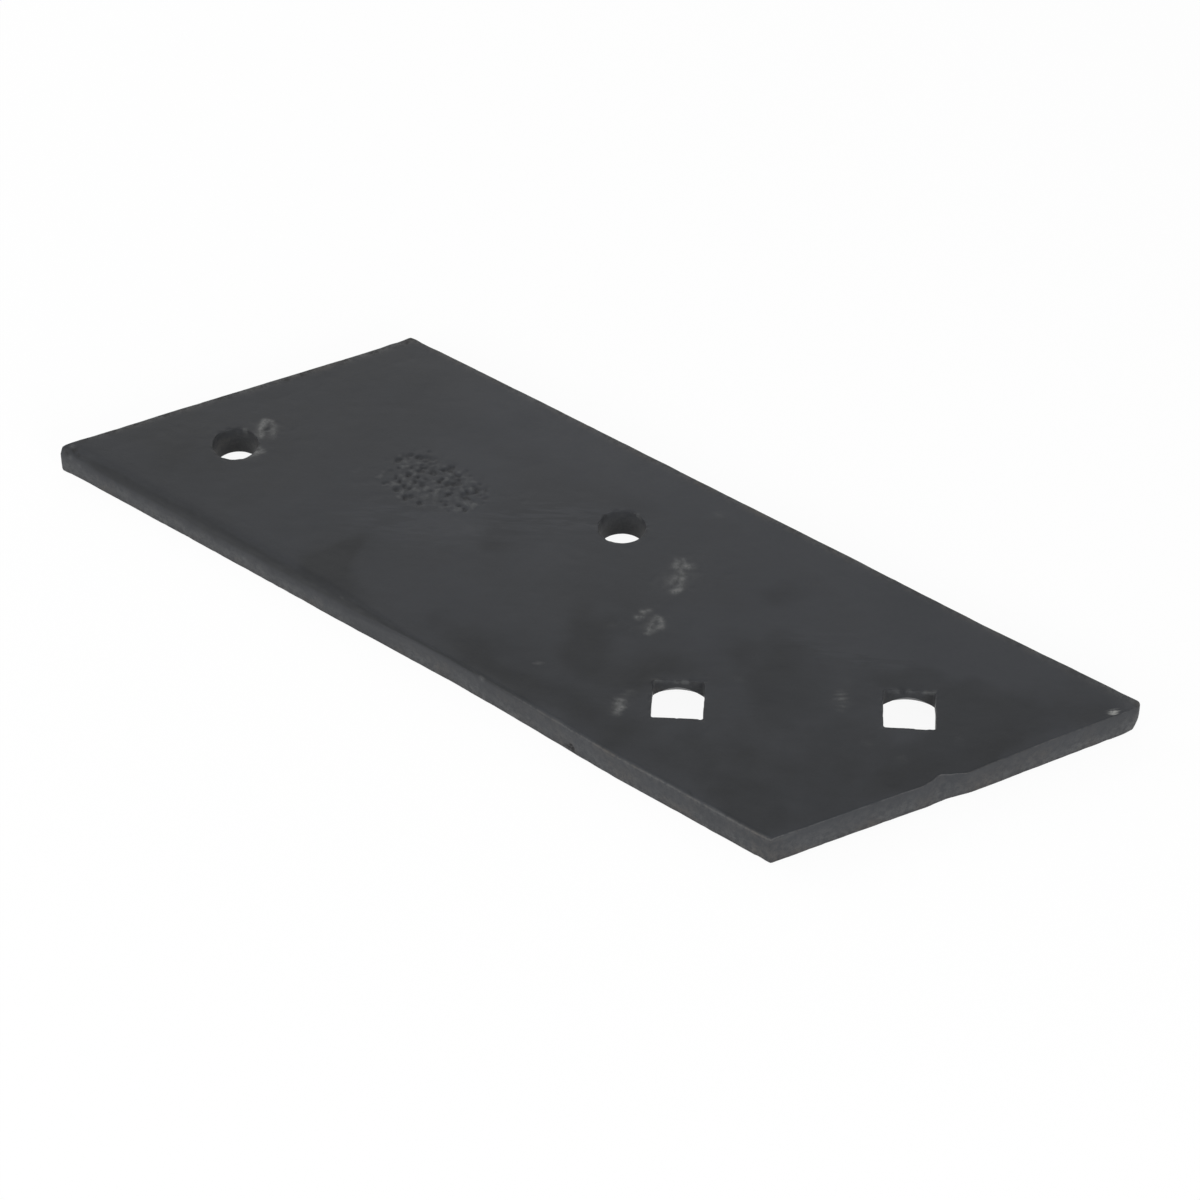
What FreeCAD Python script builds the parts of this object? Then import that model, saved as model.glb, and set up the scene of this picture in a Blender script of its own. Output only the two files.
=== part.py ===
import FreeCAD, Part
import math
import os

# Plough landside: one flat steel plate, cut from flat bar with both ends sheared aslant.
# Millimetres. The long edges run along X, the thickness along Z, and the plate lies on its
# soil face at Z = 0 with the frog face up. The origin is the middle of the soil face.

# The plate
plate_length = 310.5          # along a long edge, corner to corner
plate_width = 124.0           # square across the two long edges
plate_thickness = 11.0
end_angle = 63.5              # degrees between a sheared end and a long edge

# Corners and arrises
rear_tip_radius = 1.0         # the sharp corner at the rear
front_tip_radius = 2.2        # the sharp corner at the front, blunted
wide_corner_radius = 1.0      # the two wide corners
arris_radius = 0.6            # every arris but the rolled one

# The rolled arris on the near long edge: broad at the rear, closing up to the front
broad_roll_radius = 6.0
tight_roll_radius = 1.6
broad_roll_run = 118.0        # from the rear corner to where the roll starts to close
roll_fade_run = 52.0          # over which it closes from broad to tight

# The front end was sheared in two strokes, which meet in a dent with a lip beside it
step_start = 55.0             # along the end, from its wide corner to the dent
dent_depth = 1.4
dent_run = 7.0                # from the start of the dent to its deepest point
lip_height = 1.0
lip_run = 8.5                 # from the bottom of the dent to the top of the lip
step_radius = 3.5             # rounds in plan along the step

# Square-neck holes for plough bolts, whose heads are sunk in the soil face
square_side = 17.0
square_corner_radius = 1.0
sink_diameter = 30.6          # mouth of the conical sink at the soil face
sink_angle = 82.0             # degrees, the whole cone
lower_square_back = 60.8      # back from the front corner, along the near long edge
lower_square_across = 32.6    # from the near long edge
square_pitch = 75.5           # between the two square holes
square_line_angle = 34.1      # degrees from the long edge; the squares are turned with it

# Round bolt holes through the plate
round_diameter = 16.3
rear_round_along = 49.8       # from the rear corner, along the near long edge
rear_round_across = 39.2      # from the near long edge
middle_round_back = 126.0     # back from the front corner, along the near long edge
middle_round_across = 88.0    # from the near long edge

# Run-out of a cutter beyond the face it starts from, and what counts as lying in a face
overrun = 5.0
face_tolerance = 0.05

# Derived places
end_slope = math.radians(end_angle)
end_shift = plate_width / math.tan(end_slope)
end_length = plate_width / math.sin(end_slope)
rear_x = -(plate_length + end_shift) / 2
near_y = -plate_width / 2


def from_rear_corner(along, across):
    """Point on the soil face, measured from the sharp rear corner."""
    return FreeCAD.Vector(rear_x + along, near_y + across, 0)


def from_front_corner(back, across):
    """Point on the soil face, measured back from the wide front corner."""
    return from_rear_corner(plate_length - back, across)


def on_front_end(along, out):
    """Point measured along the front end from its wide corner, and outwards from it."""
    corner = from_front_corner(0, 0)
    run = FreeCAD.Vector(math.cos(end_slope), math.sin(end_slope), 0)
    outward = FreeCAD.Vector(math.sin(end_slope), -math.cos(end_slope), 0)
    return corner + run * along + outward * out


def rounded_outline(corners):
    """Closed wire through (point, radius) corners, each turned by a tangent arc."""
    edges = []
    ends = []
    count = len(corners)
    for index, (point, radius) in enumerate(corners):
        back = (corners[index - 1][0] - point).normalize()
        ahead = (corners[(index + 1) % count][0] - point).normalize()
        half_angle = back.getAngle(ahead) / 2
        setback = radius / math.tan(half_angle)
        middle = (back + ahead).normalize()
        crown = point + middle * (radius / math.sin(half_angle) - radius)
        ends.append((point + back * setback, crown, point + ahead * setback))
    for index, (arc_start, crown, arc_end) in enumerate(ends):
        next_start = ends[(index + 1) % count][0]
        edges.append(Part.Arc(arc_start, crown, arc_end).toShape())
        edges.append(Part.LineSegment(arc_end, next_start).toShape())
    return Part.Wire(edges)


def plate_blank():
    """The plate's outline with the stepped front end, at full thickness."""
    dent_along = step_start + dent_run
    corners = [
        (from_rear_corner(0, 0), rear_tip_radius),
        (from_front_corner(0, 0), wide_corner_radius),
        (on_front_end(step_start, 0), step_radius),
        (on_front_end(dent_along, -dent_depth), step_radius),
        (on_front_end(dent_along + lip_run, lip_height), step_radius),
        (on_front_end(end_length, 0), front_tip_radius),
        (from_rear_corner(end_shift, plate_width), wide_corner_radius),
    ]
    face = Part.Face(rounded_outline(corners))
    return face.extrude(FreeCAD.Vector(0, 0, plate_thickness))


def roll_section(along, radius):
    """Section of the rolled arris's cutter: the corner outside a quarter circle."""
    x = rear_x + along
    side_y = near_y
    top_z = plate_thickness
    spring = FreeCAD.Vector(x, side_y, top_z - radius)
    crown_turn = radius * (1 - math.sqrt(0.5))
    crown = FreeCAD.Vector(x, side_y + crown_turn, top_z - crown_turn)
    landing = FreeCAD.Vector(x, side_y + radius, top_z)
    outside = [
        landing,
        FreeCAD.Vector(x, side_y + radius, top_z + overrun),
        FreeCAD.Vector(x, side_y - overrun, top_z + overrun),
        FreeCAD.Vector(x, side_y - overrun, top_z - radius),
        spring,
    ]
    edges = [Part.Arc(spring, crown, landing).toShape()]
    for start, end in zip(outside, outside[1:]):
        edges.append(Part.LineSegment(start, end).toShape())
    return Part.Wire(edges)


def rolled_arris_cutter():
    """What the worn roll takes off the near long edge, in three straight runs."""
    fade_end = broad_roll_run + roll_fade_run
    sections = [
        roll_section(-overrun, broad_roll_radius),
        roll_section(broad_roll_run, broad_roll_radius),
        roll_section(fade_end, tight_roll_radius),
        roll_section(plate_length + overrun, tight_roll_radius),
    ]
    runs = []
    for first, second in zip(sections, sections[1:]):
        runs.append(Part.makeLoft([first, second], True, True))
    return runs


def is_rim(edge):
    """True for an edge that lies flat in the frog face or the soil face."""
    return edge.BoundBox.ZLength < face_tolerance


def plate_with_worn_arrises():
    """The blank with every rim slightly rounded, then the rolled arris taken off."""
    blank = plate_blank()
    rims = [edge for edge in blank.Edges if is_rim(edge)]
    plate = blank.makeFillet(arris_radius, rims)
    for cutter in rolled_arris_cutter():
        plate = plate.cut(cutter)
    return plate


def round_hole_cutter(centre):
    """Straight round bolt hole, right through."""
    foot = centre - FreeCAD.Vector(0, 0, overrun)
    return Part.makeCylinder(round_diameter / 2, plate_thickness + 2 * overrun, foot)


def square_neck_cutter(centre):
    """Square neck of a plough-bolt hole, turned with the line of the bolts."""
    half = square_side / 2
    corners = []
    for x_sign, y_sign in ((-1, -1), (1, -1), (1, 1), (-1, 1)):
        corner = FreeCAD.Vector(x_sign * half, y_sign * half, -overrun)
        corners.append((corner, square_corner_radius))
    face = Part.Face(rounded_outline(corners))
    neck = face.extrude(FreeCAD.Vector(0, 0, plate_thickness + 2 * overrun))
    neck.rotate(FreeCAD.Vector(0, 0, 0), FreeCAD.Vector(0, 0, 1), square_line_angle)
    neck.translate(centre)
    return neck


def bolt_head_sink(centre):
    """Conical sink for the bolt's head, widest at the soil face."""
    slope = math.tan(math.radians(sink_angle / 2))
    mouth_radius = sink_diameter / 2
    skirt_radius = mouth_radius + overrun * slope
    depth = mouth_radius / slope
    foot = centre - FreeCAD.Vector(0, 0, overrun)
    return Part.makeCone(skirt_radius, 0, depth + overrun, foot)


def square_hole_centres():
    """The lower square hole, and the other at one pitch along the bolts' line."""
    lower = from_front_corner(lower_square_back, lower_square_across)
    turn = math.radians(square_line_angle)
    step = FreeCAD.Vector(math.cos(turn), math.sin(turn), 0) * square_pitch
    return [lower, lower + step]


def landside_plate():
    """The whole landside, one solid."""
    cutters = [
        round_hole_cutter(from_rear_corner(rear_round_along, rear_round_across)),
        round_hole_cutter(from_front_corner(middle_round_back, middle_round_across)),
    ]
    for centre in square_hole_centres():
        cutters.append(square_neck_cutter(centre))
        cutters.append(bolt_head_sink(centre))
    plate = plate_with_worn_arrises()
    for cutter in cutters:
        plate = plate.cut(cutter)
    return plate.Solids[0]


def main():
    os.makedirs("parts", exist_ok=True)
    plate = landside_plate()
    plate.exportStep("parts/landside_plate.step")
    box = plate.BoundBox
    print("landside_plate valid", plate.isValid(), "volume", round(plate.Volume, 1))
    print("x", round(box.XMin, 3), round(box.XMax, 3), "y", round(box.YMin, 3), round(box.YMax, 3))
    print("z", round(box.ZMin, 3), round(box.ZMax, 3), "faces", len(plate.Faces))


main()
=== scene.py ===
import bpy
import bmesh
import math
import numpy as np
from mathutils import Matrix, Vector


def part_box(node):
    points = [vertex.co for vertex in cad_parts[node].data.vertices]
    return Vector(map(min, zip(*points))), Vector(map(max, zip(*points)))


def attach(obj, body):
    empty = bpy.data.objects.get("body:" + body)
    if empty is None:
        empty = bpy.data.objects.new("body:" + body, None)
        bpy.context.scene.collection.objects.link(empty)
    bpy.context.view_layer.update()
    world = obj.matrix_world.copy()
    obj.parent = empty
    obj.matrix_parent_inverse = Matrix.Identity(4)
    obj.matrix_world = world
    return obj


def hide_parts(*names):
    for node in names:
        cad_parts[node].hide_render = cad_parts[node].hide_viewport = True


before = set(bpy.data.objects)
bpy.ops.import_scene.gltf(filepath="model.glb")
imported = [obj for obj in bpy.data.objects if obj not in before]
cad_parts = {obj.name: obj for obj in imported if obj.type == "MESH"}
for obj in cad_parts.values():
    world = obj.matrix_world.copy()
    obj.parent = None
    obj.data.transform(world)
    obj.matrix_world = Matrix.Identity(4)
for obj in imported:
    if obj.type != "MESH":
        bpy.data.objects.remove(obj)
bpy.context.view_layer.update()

mm = 0.001
tiny = 1e-9  # keeps a division clear of zero
plateLow, plateHigh = [np.array(corner, float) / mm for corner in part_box("landside_plate")]
thickness = plateHigh[2]
width = plateHigh[1] - plateLow[1]
print("plate in the CAD frame, mm:", plateLow.round(2), plateHigh.round(2))


# View and light

view = {
    "camera": (522.392, -666.241, 800.070),  # mm, where the photographer stood
    "target": (14.720, -7.705, 11.0),
    "lens": 102.193,
    "sensorWidth": 36,
    "farthest": 20,         # m
}

studio = {
    "skyLight": 0.38,       # white surroundings, as the plate feels them
    "floorWhite": "#f4f4f4",
    "floorGlow": 0.90,      # share of the floor's white that shadows can't touch
    "glowStrength": 1.03,
    "floorReach": 6.0,      # m, each way
    "floorDrop": 0.0002,    # m below the plate, so that the two never share a plane
    "lamps": [
        # name, place (m), aims at (m), size (m), watts
        ("rearSoftbox", (-1.05, 0.95, 0.80), (-0.04, 0.04, 0.0), 0.9, 1.9),
        ("endSoftbox", (1.25, -0.60, 0.30), (0.10, -0.02, 0.0), 0.9, 14.5),
        ("nearSoftbox", (-0.35, -1.35, 0.30), (-0.03, -0.03, 0.0), 0.9, 9.6),
        ("leftSoftbox", (-1.30, -0.20, 0.65), (-0.03, -0.02, 0.0), 0.7, 4.4),
    ],
}
white = (1, 1, 1, 1)


def hexToLinear(code):
    # sRGB hex to linear light, channel by channel
    srgb = np.array([int(code[i:i + 2], 16) for i in (1, 3, 5)]) / 255
    linear = np.where(srgb <= 0.04045, srgb / 12.92, ((srgb + 0.055) / 1.055) ** 2.4)
    return (*[float(c) for c in linear], 1.0)


# Inputs go by name or number, or in a row from the first; a socket is linked and a value is set
def addNode(tree, kind, inputs=(), **settings):
    node = tree.nodes.new("ShaderNode" + kind)
    for name, value in settings.items():
        setattr(node, name, value)
    for name, value in (inputs if isinstance(inputs, dict) else dict(enumerate(inputs))).items():
        if isinstance(value, bpy.types.NodeSocket):
            tree.links.new(value, node.inputs[name])
        else:
            node.inputs[name].default_value = value
    return node.outputs


def cleanTree(owner):
    owner.use_nodes = True
    owner.node_tree.nodes.clear()
    return owner.node_tree


def placeCamera():
    cameraData = bpy.data.cameras.new("plateCamera")
    cameraData.lens = view["lens"]
    cameraData.sensor_width = view["sensorWidth"]
    cameraData.clip_end = view["farthest"]
    camera = bpy.data.objects.new("plateCamera", cameraData)
    camera.location = Vector(view["camera"]) * mm
    aim = (Vector(view["target"]) - Vector(view["camera"])).normalized()
    camera.rotation_euler = aim.to_track_quat("-Z", "Y").to_euler()
    bpy.context.scene.collection.objects.link(camera)
    bpy.context.scene.camera = camera


def seenByMirror(tree):
    # 1 for rays from the camera, off gloss or through glass, 0 for the light that falls on things
    path = addNode(tree, "LightPath")
    seen = addNode(tree, "Math", (path["Is Camera Ray"], path["Is Glossy Ray"]), operation="MAXIMUM")[0]
    return addNode(tree, "Math", (seen, path["Is Transmission Ray"]), operation="MAXIMUM")[0]


def setWorld():
    world = bpy.data.worlds.new("whiteStudio")
    bpy.context.scene.world = world
    tree = cleanTree(world)
    felt, seen = [addNode(tree, "Background", (white, strength))[0] for strength in (studio["skyLight"], 1.0)]
    addNode(tree, "OutputWorld", addNode(tree, "MixShader", (seenByMirror(tree), felt, seen)))


def layFloor():
    # white paper sweep: its colour glows for the camera and still takes a faint shadow
    reach, level = studio["floorReach"], -studio["floorDrop"]
    corners = [(reach * x, reach * y, level) for x, y in ((-1, -1), (1, -1), (1, 1), (-1, 1))]
    floorMesh = bpy.data.meshes.new("paperFloor")
    floorMesh.from_pydata(corners, [], [(0, 1, 2, 3)])
    floor = bpy.data.objects.new("paperFloor", floorMesh)
    bpy.context.scene.collection.objects.link(floor)
    paper = bpy.data.materials.new("matt white paper")
    tree = cleanTree(paper)
    matt = addNode(tree, "BsdfDiffuse", (hexToLinear(studio["floorWhite"]),))[0]
    glow = addNode(tree, "Emission", (white, studio["glowStrength"]))[0]
    share = addNode(tree, "Math", (seenByMirror(tree), studio["floorGlow"]), operation="MULTIPLY")[0]
    addNode(tree, "OutputMaterial", addNode(tree, "MixShader", (share, matt, glow)))
    floorMesh.materials.append(paper)


def hangLamps():
    for name, place, aimPoint, size, watts in studio["lamps"]:
        lampData = bpy.data.lights.new(name, "AREA")
        lampData.shape = "SQUARE"
        lampData.size = size
        lampData.energy = watts
        lamp = bpy.data.objects.new(name, lampData)
        lamp.location = place
        lamp.rotation_euler = (Vector(aimPoint) - Vector(place)).to_track_quat("-Z", "Y").to_euler()
        bpy.context.scene.collection.objects.link(lamp)


bpy.context.scene.view_settings.view_transform = "Standard"
placeCamera()
setWorld()
layFloor()
hangLamps()
print("camera, paper floor and", len(studio["lamps"]), "soft lamps placed")


# The plate's outline, in mm. Corners run anticlockwise: rear near, front near, front far, rear far.

plate = {
    "length": 310.5,           # along a long edge
    "endAngle": 63.5,          # degrees
    "cornerRadii": (1.0, 1.0, 2.2, 0.5),
    "arris": 0.6,
    "rollBroad": 6.0,          # the worn near arris at the rear
    "rollTight": 1.6,          # and at the front
    "rollBroadTo": -68.0,      # x where it starts to close up
    "rollTightFrom": -16.0,    # x where it has closed up
    "rimStrip": 9.0,           # how far the rim's strip reaches in over both faces
    "gridAlong": 1.5,
    "gridAcross": 1.3,
    "gridAtRim": 0.6,          # closer lines over the last few mm
    "rimReach": 3.0,
    "fineTimes": 3,            # how much finer the grid is under the marks
}

roundHoles = {
    "diameter": 16.3,
    "mouth": 0.35,             # worn lip at the top and below
    "centres": [(-136.36, -22.8), (-1.66, 26.0)],
    "blockAlong": 11.8,        # half size of the opening left for it in the grids
    "blockAcross": 9.8,
    "topRings": (0.25, 0.47, 0.65, 0.8, 0.91, 0.97),   # share of the way in to the mouth
    "boreRings": 10,
    "boreEnds": 0.9,           # from both faces to the first and the last of them
    "lowRings": (0.08, 0.3, 0.6),                      # share of the way out
}

squareHoles = {
    "side": 17.0,
    "cornerRadius": 1.0,
    "cornerShare": 0.32,       # share of the points that go round the corners
    "mouth": 0.35,
    "turn": 34.1,
    "sinkRadius": 15.3,
    "sinkAngle": 82.0,
    "sinkMouth": 0.3,          # worn round
    "centres": [(63.54, -29.4), (126.06, 12.93)],
    "blockAlong": 20.4,
    "blockAcross": 18.6,
    "topRings": (0.13, 0.25, 0.37, 0.48, 0.58, 0.68, 0.77, 0.85, 0.91, 0.96, 0.985),
    "neckRings": (0.12, 0.28, 0.46, 0.64, 0.8, 0.92, 0.98, 1),
    "sinkRings": (0.04, 0.16, 0.32, 0.5, 0.68, 0.84, 0.95),
    "lowRings": (0.2, 0.5),
}

slope = math.radians(plate["endAngle"])
halfLong, halfShift = plate["length"] / 2, width / math.tan(slope) / 2
cornerPoints = np.array([
    (-halfLong - halfShift, -width / 2),
    (halfLong - halfShift, -width / 2),
    (halfLong + halfShift, width / 2),
    (halfShift - halfLong, width / 2),
])
cornerRadii = np.array(plate["cornerRadii"])
insideAngles = np.array([slope, math.pi - slope] * 2)
sideTurns = np.array([0, slope, math.pi, math.pi + slope])
normalTurns = sideTurns - math.pi / 2
crownTurns = normalTurns - (math.pi - insideAngles) / 2   # halfway round each corner


def direction(turn):
    return np.stack([np.cos(turn), np.sin(turn)], axis=-1)


# A point on the outline drawn in by a distance: each side runs half a corner arc, a straight,
# and half the next arc, and the fraction is the share of that path. Past its own radius a corner is sharp.
def outlinePoint(inset, side, fraction):
    inset, side, fraction = np.broadcast_arrays(inset, side, fraction)
    after = (side + 1) % 4

    def cornerArc(corner):
        radius = np.maximum(cornerRadii[corner] - inset, 0)
        reach = np.maximum(cornerRadii[corner], inset) / np.sin(insideAngles[corner] / 2)
        centre = cornerPoints[corner] - direction(crownTurns[corner]) * reach[..., None]
        return radius, centre, radius * (math.pi - insideAngles[corner]) / 2

    firstRadius, firstCentre, firstArc = cornerArc(side)
    lastRadius, lastCentre, lastArc = cornerArc(after)
    outward = direction(normalTurns[side])
    start = firstCentre + outward * firstRadius[..., None]
    end = lastCentre + outward * lastRadius[..., None]
    straight = np.linalg.norm(end - start, axis=-1)
    gone = fraction * (firstArc + straight + lastArc)
    alongStraight = np.clip((gone - firstArc) / straight, 0, 1)[..., None]
    turnFirst = crownTurns[side] + gone / np.maximum(firstRadius, tiny)
    turnLast = normalTurns[side] + (gone - firstArc - straight) / np.maximum(lastRadius, tiny)
    onFirst = firstCentre + direction(turnFirst) * firstRadius[..., None]
    onLast = lastCentre + direction(turnLast) * lastRadius[..., None]
    points = start + (end - start) * alongStraight
    points = np.where((gone < firstArc)[..., None], onFirst, points)
    return np.where((gone > firstArc + straight)[..., None], onLast, points)


# Line positions from 0 to 1: close steps near both ends, even steps between them
def gridLines(run, step):
    close = np.arange(0, plate["rimReach"], plate["gridAtRim"])
    count = int(round((run - 2 * plate["rimReach"]) / step))
    middle = np.linspace(plate["rimReach"], run - plate["rimReach"], count + 1)
    return np.concatenate([close, middle, (run - close)[::-1]]) / run


sheetCorners = outlinePoint(plate["rimStrip"], np.arange(4), 0.0)
alongSpan = sheetCorners[1] - sheetCorners[0]
acrossSpan = sheetCorners[3] - sheetCorners[0]
uLines = gridLines(np.linalg.norm(alongSpan), plate["gridAlong"])
wLines = gridLines(np.linalg.norm(acrossSpan), plate["gridAcross"])


def sheetPoint(u, w, z):
    # a share of the way along and a share of the way across the slanted sheet
    flat = sheetCorners[0] + u[..., None] * alongSpan + w[..., None] * acrossSpan
    return np.concatenate([flat, np.full((*flat.shape[:-1], 1), z)], axis=-1)


def cellBlock(x, y, halfAlong, halfAcross):
    # grid cells around a point: first and last line along, first and last line across
    u, w = np.linalg.solve(np.column_stack([alongSpan, acrossSpan]), (x, y) - sheetCorners[0])
    du = halfAlong / np.linalg.norm(alongSpan)
    dw = halfAcross / acrossSpan[1]
    u0, u1 = np.searchsorted(uLines, [u - du, u + du])
    w0, w1 = np.searchsorted(wLines, [w - dw, w + dw])
    return u0 - 1, u1, w0 - 1, w1


# Faces between neighbouring rows and columns of a grid of points
def gridFaces(rows, columns, wrap=False, flip=False):
    index = np.arange(rows * columns).reshape(rows, columns)
    if wrap:
        index = np.concatenate([index, index[:, :1]], axis=1)
    quads = np.stack([index[:-1, :-1], index[1:, :-1], index[1:, 1:], index[:-1, 1:]], axis=-1)
    return quads[..., ::-1] if flip else quads


# The marks on the top face, in mm

marks = {
    # strokes of raised, rubbed metal: from, to, half width, height, brightness
    "strokes": [
        (-132, -14.2, -134.9, -10.9, 1.2, 0.16, 0.56), (-134.9, -10.9, -136.5, -7.2, 1.2, 0.2, 0.96),
        (-136.5, -7.2, -134.7, -5.9, 1, 0.2, 0.7), (-134.5, -6.1, -131.6, -7.8, 0.9, 0.14, 0.3),
        (-131.6, -7.8, -128.9, -11.8, 1.3, 0.18, 0.42), (-127.3, -21.4, -126.3, -20.1, 1, 0.14, 1.1),
        (-128.2, -25.6, -126.8, -22.6, 0.9, 0.1, 0.34), (-129.4, -18.6, -127.9, -19.9, 0.9, 0.1, 0.3),
        (25.3, 20.9, 23.9, 23.6, 1.2, 0.2, 0.62), (25, 25.8, 26.6, 23.9, 0.9, 0.18, 0.4),
        (27.4, 23.2, 29, 23.8, 1.1, 0.18, 0.72), (27.2, 20.6, 29, 19.4, 1, 0.16, 0.45),
        (30.4, 18, 32.3, 13.8, 1.1, 0.16, 0.45), (32.6, 13.4, 32.2, 11, 1.2, 0.2, 0.85),
        (28.9, 13.8, 28.2, 16.9, 1, 0.12, 0.3), (37.4, -10.5, 35.6, -6.8, 1.1, 0.18, 0.66),
        (35, -5.5, 34.6, -2.2, 0.8, 0.14, 0.34), (34.8, -2.4, 36.5, -2.6, 1, 0.14, 0.44),
        (36.5, -2.8, 38.6, -5.4, 1.4, 0.18, 0.6), (38.7, -5.8, 37.7, -9.3, 1, 0.14, 0.46),
        (30, -3.4, 31, -2, 1.1, 0.16, 0.58), (29.9, -7, 31, -6.2, 1, 0.14, 0.5),
        (50.8, -44.2, 49.2, -41.4, 1.3, 0.18, 0.95), (51.8, -46.6, 51.4, -45.4, 1.1, 0.14, 0.62),
        (49.6, -37.4, 49.2, -36, 1, 0.1, 0.34), (104.2, 5.4, 105.8, 3.2, 1, 0.1, 0.4),
        (107.6, 3.4, 108.8, -1.2, 0.9, 0.06, 0.14),
    ],
    # faint rubbed haze round them: centre, half sizes, brightness
    "haze": [
        (-133, -10.4, 5.2, 6, 0.05), (-127.6, -22, 2.6, 4.4, 0.12), (28.6, 17.6, 5, 9.2, 0.19),
        (35.2, -6, 6.2, 6, 0.07), (50, -42.4, 2.6, 5.8, 0.1), (105.6, 1.8, 4.6, 5, 0.05),
        (173.5, 43, 3.6, 6, 0.04), (182, 59, 4, 4, 0.08), (21, 51, 1.8, 1.8, 0.1),
        (136.5, -7, 2.4, 1.6, 0.07), (-43.5, -7, 3.2, 1.8, 0.06), (25, -15, 1.8, 1.8, 0.06),
        (146, 11, 1.8, 1.8, 0.06), (124, -8.5, 2, 1.5, 0.06), (74, -9.5, 1.8, 1.8, 0.06),
    ],
    # hollows beside them: centre, radius, depth
    "hollows": [
        (-132.9, -10.3, 1.5, 0.35), (30.4, 14.6, 1.4, 0.25), (36.9, -7.9, 0.8, 0.3),
        (26.3, 21.9, 0.8, 0.25), (48.6, -42, 1, 0.2),
    ],
    # knocks and nicks on the arrises and the near side, bright where steel shows and, below zero, dark
    # where dirt sits: place, radius, depth, brightness
    "nicks": [
        # the first, a knock at the far front corner, shows bare steel and is pushed further to a painted glint
        (179.3, 52.5, 10.9, 1.2, 0.5, 3), (-182.6, -61.2, 8.6, 1.3, 0.25, -1),
        (-180.2, -59.4, 10.2, 1.6, 0.25, -1), (-178, -60.1, 9.7, 1.3, 0.2, -0.8),
        (-180.6, -61.4, 7.5, 1.1, 0.1, 0.14), (-182.6, -61.4, 3.8, 1.1, 0.1, 0.16),
        (-176.6, -61.4, 6.1, 1.2, 0.1, 0.14), (-182.2, -58.4, 10.4, 1, 0.1, 0.2),
        (-183.2, -60.4, 6.2, 1.1, 0.15, -0.8), (44.1, -61.4, 2.6, 1.5, 0.9, -2),
        (-55.3, -59.9, 10.2, 1, 0.1, 0.45), (-71, -59.5, 10.6, 1.3, 0.3, -0.55),
        (-98.3, -61.4, 4.7, 1, 0.1, 0.4), (-46, -60.5, 9.4, 1.2, 0.2, -0.4),
        (66.2, -61.4, 8, 1, 0.2, -0.5), (92, -60.9, 11, 0.9, 0.3, -0.5),
        (16.9, -43.7, 11, 0.9, 0.1, 0.3), (-112, -61.3, 7.5, 1.4, 0.2, -0.35),
        (6, -60.6, 9.8, 1.3, 0.1, 0.2),
    ],
    # a rough, pitted patch: centre and half sizes of its parts
    "roughParts": [(-78, 3, 8.5, 11.5), (-66, 8, 9, 8), (-54.5, 5, 8, 9.5), (-70, -4, 9, 6)],
    "roughSpot": (2.3, 1.7),   # room for one spot, which is a little longer than wide
    "roughTurn": 125,          # degrees
    "roughDepth": 0.45,
    "roughRise": 0.15,
    "roughBright": 0.22,
    # zones where the grid is finer: centre, half size along, half size across
    "zones": [(-131.5, -5.5, 11, 5.5), (28, 18, 9.5, 10.5), (35, -6, 8, 7.5), (-66.5, 1.5, 23, 15.5)],
}

# How the dip lies on the top face, with painted light and shade laid over it, in mm and degrees

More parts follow.
